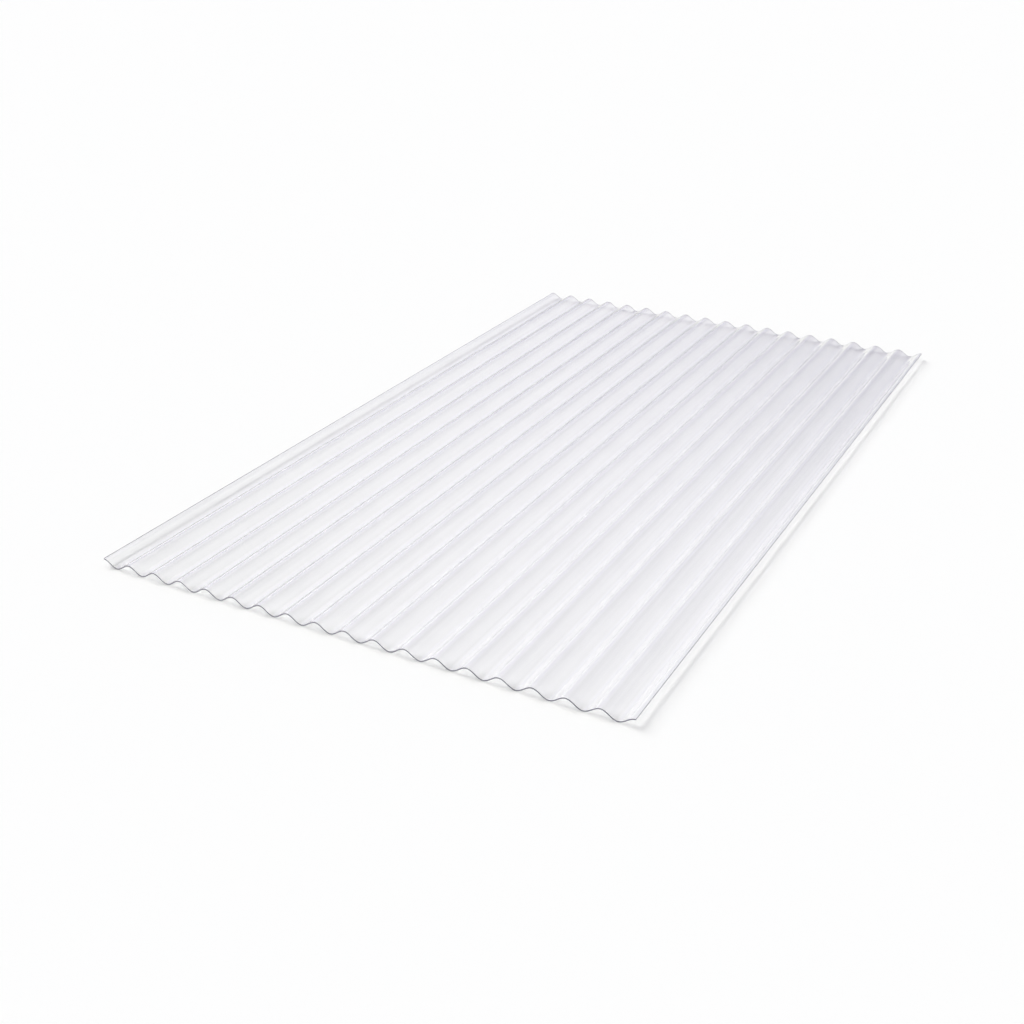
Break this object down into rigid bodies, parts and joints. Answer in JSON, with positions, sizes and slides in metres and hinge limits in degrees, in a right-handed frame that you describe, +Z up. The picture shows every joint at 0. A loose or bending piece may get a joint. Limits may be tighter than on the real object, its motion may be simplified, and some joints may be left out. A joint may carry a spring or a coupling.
{
  "type": "corrugated acrylic sheet",
  "caption": "Clear acrylic sheet with sinusoidal waves running along its length, sawn square at its ends, for roofs and walls.",
  "frame": {"origin": "on the resting plane, under the middle of the sheet", "axes": "+Z up out of the resting plane; +Y along the ridges, the sheet's length; +X across the waves"},
  "size_m": [1.44, 2.5, 0.021],
  "materials": {
    "clear_acrylic": "clear, polished as extruded, with a very faint cool tint and fine draw lines along the waves"
  },
  "bodies": {
    "root": {"corrugated_sheet": "clear_acrylic"}
  },
  "joints": []
}
